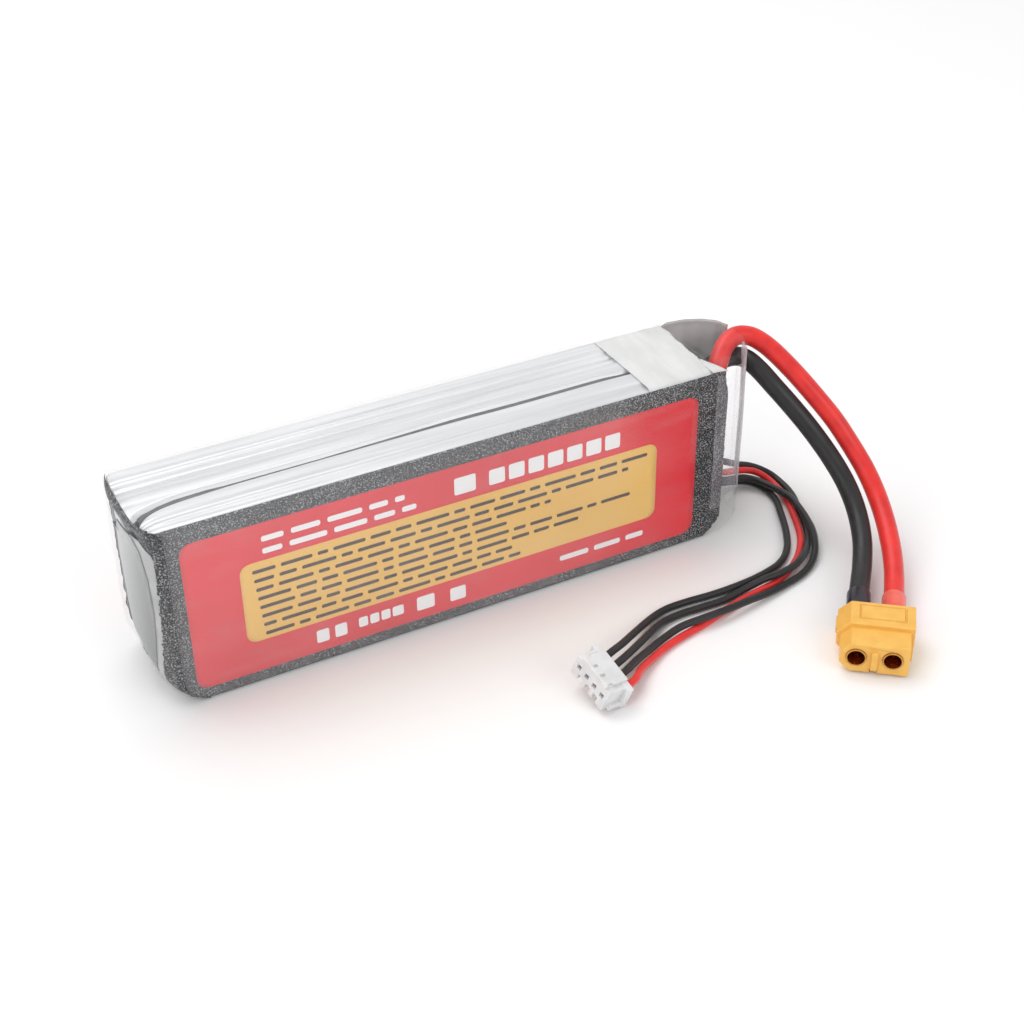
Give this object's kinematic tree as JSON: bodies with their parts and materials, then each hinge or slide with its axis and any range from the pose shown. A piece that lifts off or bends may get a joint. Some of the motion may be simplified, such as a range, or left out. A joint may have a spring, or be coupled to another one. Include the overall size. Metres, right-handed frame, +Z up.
{
  "type": "lithium polymer battery pack",
  "caption": "Shrink-wrapped lithium polymer pouch cell pack with thick power leads to a two-socket plug and thin balance wires to a flat plug.",
  "frame": {"origin": "centre of the pack's underside, measured without the leads and plugs", "axes": "+X along the pack to the lead end, -Y out of the broad front label, +Z up from the narrow side the pack stands on"},
  "size_m": [0.1604, 0.0862, 0.0426],
  "materials": {
    "clear_film": "clear shrink film, glossy",
    "label_film": "printed film, dark grey with fine speckle",
    "pouch_foil": "laminated foil pouch, satin",
    "electrode": "electrode and separator stack, dull",
    "aluminium_tab": "bare strip",
    "nickel_tab": "nickel strip",
    "sealing_film": "white polymer seal",
    "gap_foam": "white pad",
    "board_laminate": "glass-epoxy board",
    "insulation_paper": "pressed insulation paper",
    "solder": "tin solder",
    "white_tape": "matt paper-like tape",
    "grey_pad": "soft grey foam",
    "copper_strand": "tinned copper strand",
    "red_silicone": "red silicone insulation",
    "black_silicone": "black silicone insulation",
    "red_shrink": "red shrink tube",
    "black_shrink": "black shrink tube",
    "yellow_nylon": "moulded yellow nylon",
    "gold_contact": "gold plated brass",
    "white_nylon": "moulded translucent white nylon",
    "tin_contact": "tin plated crimp"
  },
  "bodies": {
    "root": {"outer_sleeve": "clear_film", "front_label": "label_film", "back_label": "label_film", "front_cell_pouch": "pouch_foil", "middle_cell_pouch": "pouch_foil", "rear_cell_pouch": "pouch_foil", "front_electrode_stack": "electrode", "middle_electrode_stack": "electrode", "rear_electrode_stack": "electrode", "front_positive_tab": "aluminium_tab", "middle_positive_tab": "aluminium_tab", "rear_positive_tab": "aluminium_tab", "front_negative_tab": "nickel_tab", "middle_negative_tab": "nickel_tab", "rear_negative_tab": "nickel_tab", "tab_sealing_films": "sealing_film", "front_gap_pad": "gap_foam", "rear_gap_pad": "gap_foam", "terminal_board": "board_laminate", "insulation_paper": "insulation_paper", "solder_joints": "solder", "terminal_tape": "white_tape", "end_pad": "grey_pad", "positive_conductor": "copper_strand", "negative_conductor": "copper_strand", "positive_lead": "red_silicone", "negative_lead": "black_silicone", "positive_heat_shrink": "red_shrink", "negative_heat_shrink": "black_shrink", "power_connector_housing": "yellow_nylon", "positive_socket": "gold_contact", "negative_socket": "gold_contact", "balance_wire_ground": "black_silicone", "balance_wire_cell_one": "black_silicone", "balance_wire_cell_two": "black_silicone", "balance_wire_positive": "red_silicone", "balance_connector_housing": "white_nylon", "balance_contacts": "tin_contact"}
  },
  "joints": []
}
